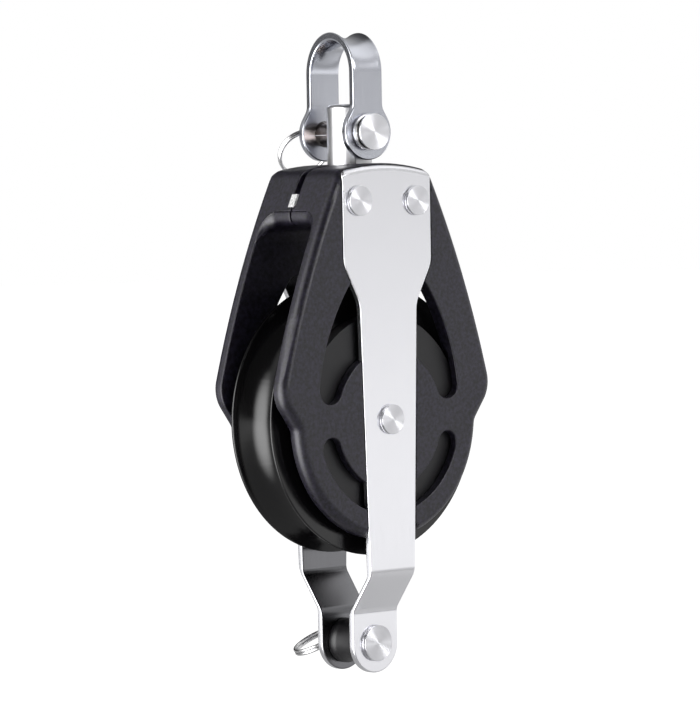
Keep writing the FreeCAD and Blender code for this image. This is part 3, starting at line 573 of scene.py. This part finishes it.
@dataclass
class Head:
    """Shackle, its pin, its split ring and the swivel post; the pin's middle is middle_mm off the post's."""

    middle_mm: float = 1.67
    strip_edge: Rounding = Rounding(0.28, weld_mm=0.03)
    post_edge: Rounding = Rounding(0.18)
    head_edge: Rounding = Rounding(0.1)
    ring: SplitRing = field(default_factory=lambda: SplitRing(
        "shackle_split_ring", "shackle_ring", "shackle_ring_swing", -7.0, -20.0, 34.5))

    def build(self) -> None:
        """Dress the shackle, pin and post, and coil the ring."""
        pin_place, pin_axis = joint_place("shackle_pivot")
        # Stainless strip, bent and then polished: mirror-like with a slight waviness.
        strip = SatinSheet("polished_stainless_shackle_strip", "#c8cad2", 0.2, Metalness.METAL,
                           line_mm=0.3, line_depth_mm=0.0005, dent_mm=5.0, dent_depth_mm=0.005,
                           tumble=0.02).build()
        dress(["shackle_strap"], strip, self.strip_edge)
        # Stainless bar, turned: a highlight fans out across the rings on the head's face.
        pin = TurnedSteel("turned_stainless_shackle_pin", "#e9e9ed", 0.4, Metalness.METAL,
                          centre=tuple(pin_place + pin_axis * self.middle_mm * MM),
                          axis=tuple(pin_axis), polished_mm=3.65).build()
        dress(["shackle_pin"], pin, self.head_edge)
        # Stainless bar, turned and polished: a broad white streak with soft lines round it.
        post = TurnedSteel("turned_stainless_post", "#d6d6d8", 0.34, Metalness.METAL,
                           axis=(0.0, 0.0, 1.0), ring_depth_mm=0.0008, anisotropy=0.3,
                           side_roughness=0.32).build()
        dress(["swivel_post", "post_nut"], post, self.post_edge)
        # Cast stainless, as it came from the mould: bright, rough and slightly pitted.
        anchor = GrainedSurface("cast_stainless_anchor", "#f2f2f2", 0.5, Metalness.METAL,
                                grain_mm=0.45, grain_depth_mm=0.12, mottle=0.3).build()
        dress(["swivel_anchor"], anchor)
        # Acetal, turned: white, smooth and slightly waxy.
        washer = GrainedSurface("turned_acetal_washer", "#d9d8d2", 0.4, Metalness.PLASTIC, 1.48,
                                grain_mm=0.5, grain_depth_mm=0.002, mottle=0.03).build()
        dress(["post_thrust_washer", "post_lower_washer", "bearing_balls"], washer)
        # Spring wire, drawn and polished: a tight bright line along each turn.
        wire = SatinSheet("drawn_stainless_ring_wire", "#dededf", 0.2, Metalness.METAL,
                          line_mm=0.2, line_depth_mm=0.0003, dent_depth_mm=0.0).build()
        self.ring.build(wire)


@dataclass
class Shell:
    """The two moulded cheeks and the pressed straps over them."""

    cheek_edge: Rounding = Rounding(0.3, sharp_deg=55.0)
    strap_edge: Rounding = Rounding(0.3)
    rivet_edge: Rounding = Rounding(0.1)

    def build(self) -> None:
        """Dress the cheeks, straps, rivets and axle."""
        # Glass-filled nylon from a spark-eroded mould: matt, with a fine even grain. The real grain
        # is about 0.2 mm apart and is drawn at 0.7 mm, so that it shows.
        nylon = GrainedSurface("moulded_glass_filled_nylon", "#1f1c29", 0.4, Metalness.PLASTIC, 1.53,
                               grain_mm=0.7, grain_depth_mm=0.04, mottle=0.85).build()
        dress(["front_cheek", "rear_cheek"], nylon, self.cheek_edge)
        # Stainless sheet, blanked, bent and polished outside: satin there; the faces that look to the
        # block's middle are drawn darker grey.
        sheet = SatinSheet("polished_stainless_strap", "#e9e9ed", 0.24, Metalness.METAL,
                           tumble=0.02, inside="#78787b").build()
        dress(["front_strap", "rear_strap"], sheet, self.strap_edge)
        for name in ("head_rivet_left", "head_rivet_right", "axle"):
            low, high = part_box(name)
            # Stainless bar, turned: a highlight fans out across the rings on the head's face.
            steel = TurnedSteel(f"turned_stainless_{name}", "#e9e9ed", 0.4, Metalness.METAL,
                                centre=tuple((low + high) / 2), polished_mm=2.95).build()
            dress([name], steel, self.rivet_edge)


@dataclass
class SheaveSet:
    """Sheave, the covers of its bearing, and the race."""

    sheave_edge: Rounding = Rounding(0.25)
    cover_edge: Rounding = Rounding(0.15)

    def build(self) -> None:
        """Dress the sheave and its bearing."""
        # Acetal, moulded and its groove turned: smooth black with one long soft highlight.
        acetal = GrainedSurface("turned_acetal_sheave", "#121113", 0.17, Metalness.PLASTIC, 1.48,
                                grain_mm=0.6, grain_depth_mm=0.002, mottle=0.06).build()
        dress(["sheave"], acetal, self.sheave_edge)
        # Acetal, moulded: satin, a little lighter than the sheave.
        cover = GrainedSurface("moulded_acetal_cover", "#1a191c", 0.42, Metalness.PLASTIC, 1.48,
                               grain_mm=0.5, grain_depth_mm=0.006, mottle=0.06).build()
        dress(["front_race_cover", "rear_race_cover", "inner_race", "becket_bush"], cover, self.cover_edge)


@dataclass
class Becket:
    """Clevis pin and split ring at the foot."""

    head_edge: Rounding = Rounding(0.1)
    ring: SplitRing = field(default_factory=lambda: SplitRing(
        "becket_split_ring", "becket_ring", "becket_ring_swing", 0.0, 24.5, 80.0))

    def build(self) -> None:
        """Dress the pin and coil the ring."""
        place, axis = joint_place("becket_bush_turn")
        # Stainless bar, turned: a highlight fans out across the rings on the head's face.
        pin = TurnedSteel("turned_stainless_becket_pin", "#e9e9ed", 0.4, Metalness.METAL,
                          centre=tuple(place), axis=tuple(axis), polished_mm=3.65,
                          shank_mm=5.6).build()
        dress(["becket_pin"], pin, self.head_edge)
        self.ring.build(bpy.data.materials["drawn_stainless_ring_wire"])


# Studio


@dataclass
class Viewpoint:
    """Camera of the photograph: its direction, distance, tilt and the place of the axle in the frame.

    The azimuth is measured from the front strap towards the block's left, and all angles are in degrees.
    """

    azimuth: float = 41.87
    elevation: float = 1.95
    roll: float = 0.97
    distance_mm: float = 800.0
    pixels_per_mm: float = 4.756
    axle_px: tuple[float, float] = (354.05, 417.77)
    sensor_mm: float = 36.0
    clip_m: tuple[float, float] = (0.01, 50.0)

    def axes(self) -> tuple[Vector, Vector, Vector]:
        """Work out the camera's right, up and back directions.

        Returns:
            Three unit vectors in the object's frame.
        """
        turn, lift, roll = (math.radians(v) for v in (self.azimuth, self.elevation, self.roll))
        back = Vector((-math.sin(turn) * math.cos(lift), -math.cos(turn) * math.cos(lift), math.sin(lift)))
        level = Vector((math.cos(turn), -math.sin(turn), 0.0))
        rise = level.cross(-back)
        right = math.cos(roll) * level - math.sin(roll) * rise
        up = math.sin(roll) * level + math.cos(roll) * rise
        return right, up, back

    def build(self) -> None:
        """Make the camera and look through it."""
        right, up, back = self.axes()
        data = bpy.data.cameras.new("photo_camera")
        data.sensor_width = self.sensor_mm
        data.lens = self.distance_mm * self.pixels_per_mm * self.sensor_mm / max(PHOTO_SIZE)
        data.clip_start, data.clip_end = self.clip_m
        camera = bpy.data.objects.new("photo_camera", data)
        bpy.context.scene.collection.objects.link(camera)
        over = (PHOTO_SIZE[0] / 2 - self.axle_px[0]) / self.pixels_per_mm
        down = (PHOTO_SIZE[1] / 2 - self.axle_px[1]) / self.pixels_per_mm
        eye = (back * self.distance_mm + right * over - up * down) * MM
        camera.matrix_world = Matrix.Translation(eye) @ Matrix((right, up, back)).transposed().to_4x4()
        bpy.context.scene.camera = camera


@dataclass(frozen=True)
class SoftBox:
    """Large soft lamp: its light, and the bright patch that polished metal shows of it.

    Azimuth and elevation say where it hangs as seen from the block. The patch is even inside core and
    fades out at edge, both angles from its middle, and shine is its brightness. The lamp's distance and
    side are in metres.
    """

    name: str
    azimuth: float
    elevation: float
    core: float
    edge: float
    shine: float
    watts: float
    distance: float = 0.9
    side: float = 0.8

    def direction(self) -> Vector:
        """Point from the block to the lamp; azimuth 0 is in front of the front strap."""
        turn, lift = math.radians(self.azimuth), math.radians(self.elevation)
        return Vector((math.sin(turn) * math.cos(lift), -math.cos(turn) * math.cos(lift), math.sin(lift)))

    def hang(self, target: Vector) -> None:
        """Hang the lamp, which lights the block without showing in it; a patch of no watts has none.

        Args:
            target: Point that it faces, in metres.
        """
        if not self.watts:
            return
        data = bpy.data.lights.new(self.name, "AREA")
        data.size, data.energy = self.side, self.watts
        lamp = bpy.data.objects.new(self.name, data)
        lamp.location = target + self.direction() * self.distance
        lamp.rotation_mode = "QUATERNION"
        lamp.rotation_quaternion = (-self.direction()).to_track_quat("-Z", "Y")
        lamp.visible_glossy = False
        bpy.context.scene.collection.objects.link(lamp)

    def patch(self, tree: bpy.types.NodeTree, way: bpy.types.NodeSocket) -> bpy.types.NodeSocket:
        """Draw the lamp's patch into the surroundings.

        Args:
            tree: Nodes of the world or the floor.
            way: Direction from the block.

        Returns:
            How bright the patch is that way.
        """
        facing = add_node(tree, "ShaderNodeVectorMath", {0: way, 1: tuple(self.direction())},
                          operation="DOT_PRODUCT")
        rim, middle = (math.cos(math.radians(angle)) for angle in (self.edge, self.core))
        patch = add_node(tree, "ShaderNodeMapRange", {
            "Value": facing.outputs["Value"], "From Min": rim, "From Max": middle,
            "To Min": 0.0, "To Max": self.shine}, interpolation_type="SMOOTHSTEP")
        return patch.outputs[0]


@dataclass
class Studio:
    """Pale floor, white surroundings and soft boxes.

    The floor is floor_drop under the block and reaches floor_half each way, in metres. Glow is how
    bright it looks to the camera and shine how bright in polished metal, outside the block's shadow,
    which is painted on the paper over the shade reach, in metres. Fill is the surroundings' light on
    plain surfaces, and dim is what polished metal shows between the boxes. The pool is a painted pool
    of light and the card a painted dark patch; both lie on the floor and have no lamp.
    """

    floor_drop: float = 0.12
    floor_half: float = 12.0
    floor_glow: float = 0.9
    floor_shine: float = 1.0
    floor_colour: str = "#e8e8e8"
    # Painted shadow: the paper's shine in polished metal fades in over these distances from the block.
    painted_shade_reach: tuple[float, float] = (0.2, 1.3)
    fill_level: float = 0.25
    dim_level: float = 0.07
    boxes: tuple[SoftBox, ...] = (
        SoftBox("right_box", 72.0, 5.0, 24.0, 84.0, 0.62, 0.64, 0.35, 0.3),
        SoftBox("left_box", -100.0, 4.0, 6.0, 38.0, 6.5, 1.0),
        SoftBox("back_box", -142.0, 34.0, 12.0, 36.0, 0.5, 1.0),
        SoftBox("window", 8.0, 24.0, 2.0, 18.0, 8.0, 0.0),
        SoftBox("top_box", 68.0, 58.0, 14.0, 34.0, 0.6, 1.2),
    )
    # Painted pool of light on the floor; it has no lamp.
    painted_pool: SoftBox = SoftBox("painted_light_pool", -98.0, -12.0, 4.0, 40.0, 6.5, 0.0)
    # Painted dark patch on the floor where a black card would stand; no card is there.
    painted_card: SoftBox = SoftBox("painted_dark_patch", -146.0, -28.0, 26.0, 60.0, 0.8, 0.0)

    def build(self) -> None:
        """Make the floor, the surroundings and the lamps."""
        low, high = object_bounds()
        half, level = self.floor_half, low.z - self.floor_drop
        mesh = bpy.data.meshes.new("floor")
        corners = [(-half, -half, level), (half, -half, level), (half, half, level), (-half, half, level)]
        mesh.from_pydata(corners, [], [(0, 1, 2, 3)])
        floor = bpy.data.objects.new("floor", mesh)
        bpy.context.scene.collection.objects.link(floor)
        floor.data.materials.append(self.floor_paint())
        floor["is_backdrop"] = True
        self.surroundings()
        for box in self.boxes:
            box.hang((low + high) / 2)

    def floor_paint(self) -> bpy.types.Material:
        """Make the floor's white paper, which glows almost white to the eye and keeps a shadow.

        Returns:
            The floor's material.
        """
        material = bpy.data.materials.new("white_paper_floor")
        material.use_nodes = True
        tree = material.node_tree
        tree.nodes.clear()
        rays = add_node(tree, "ShaderNodeLightPath")
        place = add_node(tree, "ShaderNodeTexCoord").outputs["Object"]
        reach = add_node(tree, "ShaderNodeVectorMath", {0: place}, operation="LENGTH")
        # Under the block a shade is painted on the paper: its shine in polished metal fades to nothing
        # there.
        dark_to, bright_from = self.painted_shade_reach
        shine_past_painted_shade = add_node(tree, "ShaderNodeMapRange", {
            "Value": reach.outputs["Value"], "From Min": dark_to, "From Max": bright_from,
            "To Min": 0.0, "To Max": self.floor_shine}, interpolation_type="SMOOTHSTEP")
        # A pool of light is painted on the paper, with no lamp behind it, which the groove shows below its
        # highlight.
        way = add_node(tree, "ShaderNodeVectorMath", {0: place}, operation="NORMALIZE")
        # A dark patch is painted on the paper behind the block, in place of a black card, and takes most of
        # the paper's shine off its left walls.
        kept = add_node(tree, "ShaderNodeMath", {0: 1.0, 1: self.painted_card.patch(tree, way.outputs[0])},
                        operation="SUBTRACT")
        shine_after_painted_card = add_node(tree, "ShaderNodeMath", {0: shine_past_painted_shade.outputs[0], 1: kept.outputs[0]},
                          operation="MULTIPLY")
        painted_paper_shine = add_node(tree, "ShaderNodeMath", {
            0: shine_after_painted_card.outputs[0], 1: self.painted_pool.patch(tree, way.outputs[0])}, operation="ADD")
        shine = add_node(tree, "ShaderNodeMath", {
            0: painted_paper_shine.outputs[0], 1: rays.outputs["Is Glossy Ray"]}, operation="MULTIPLY")
        glow = add_node(tree, "ShaderNodeMix", {
            "Factor": rays.outputs["Is Camera Ray"], "A": shine.outputs[0], "B": self.floor_glow})
        paper = add_node(tree, "ShaderNodeBsdfDiffuse", {"Color": linear(self.floor_colour)})
        white = add_node(tree, "ShaderNodeEmission", {
            "Color": linear(WHITE), "Strength": glow.outputs[0]})
        both = add_node(tree, "ShaderNodeAddShader", {0: paper.outputs[0], 1: white.outputs[0]})
        add_node(tree, "ShaderNodeOutputMaterial", {"Surface": both.outputs[0]})
        return material

    def surroundings(self) -> None:
        """Make the world: white to the camera, and dimmer between the soft boxes where metal shows it."""
        world = bpy.data.worlds.new("white_studio")
        bpy.context.scene.world = world
        world.use_nodes = True
        tree = world.node_tree
        tree.nodes.clear()
        rays = add_node(tree, "ShaderNodeLightPath")
        way = add_node(tree, "ShaderNodeTexCoord").outputs["Generated"]
        shine: bpy.types.NodeSocket | float = self.dim_level
        for box in self.boxes:
            both = add_node(tree, "ShaderNodeMath", {0: shine, 1: box.patch(tree, way)}, operation="ADD")
            shine = both.outputs[0]
        lit = add_node(tree, "ShaderNodeMix", {
            "Factor": rays.outputs["Is Glossy Ray"], "A": self.fill_level, "B": shine})
        level = add_node(tree, "ShaderNodeMix", {
            "Factor": rays.outputs["Is Camera Ray"], "A": lit.outputs[0], "B": 1.0})
        sky = add_node(tree, "ShaderNodeBackground", {
            "Color": linear(WHITE), "Strength": level.outputs[0]})
        add_node(tree, "ShaderNodeOutputWorld", {"Surface": sky.outputs[0]})


def main() -> None:
    """Build every sub-assembly, then the studio and the camera."""
    logging.basicConfig(level=logging.INFO, format="%(name)s: %(message)s")
    bpy.context.scene.view_settings.view_transform = "Standard"
    Shell().build()
    SheaveSet().build()
    Head().build()
    Becket().build()
    Viewpoint().build()
    Studio().build()


if __name__ == "__main__":
    main()
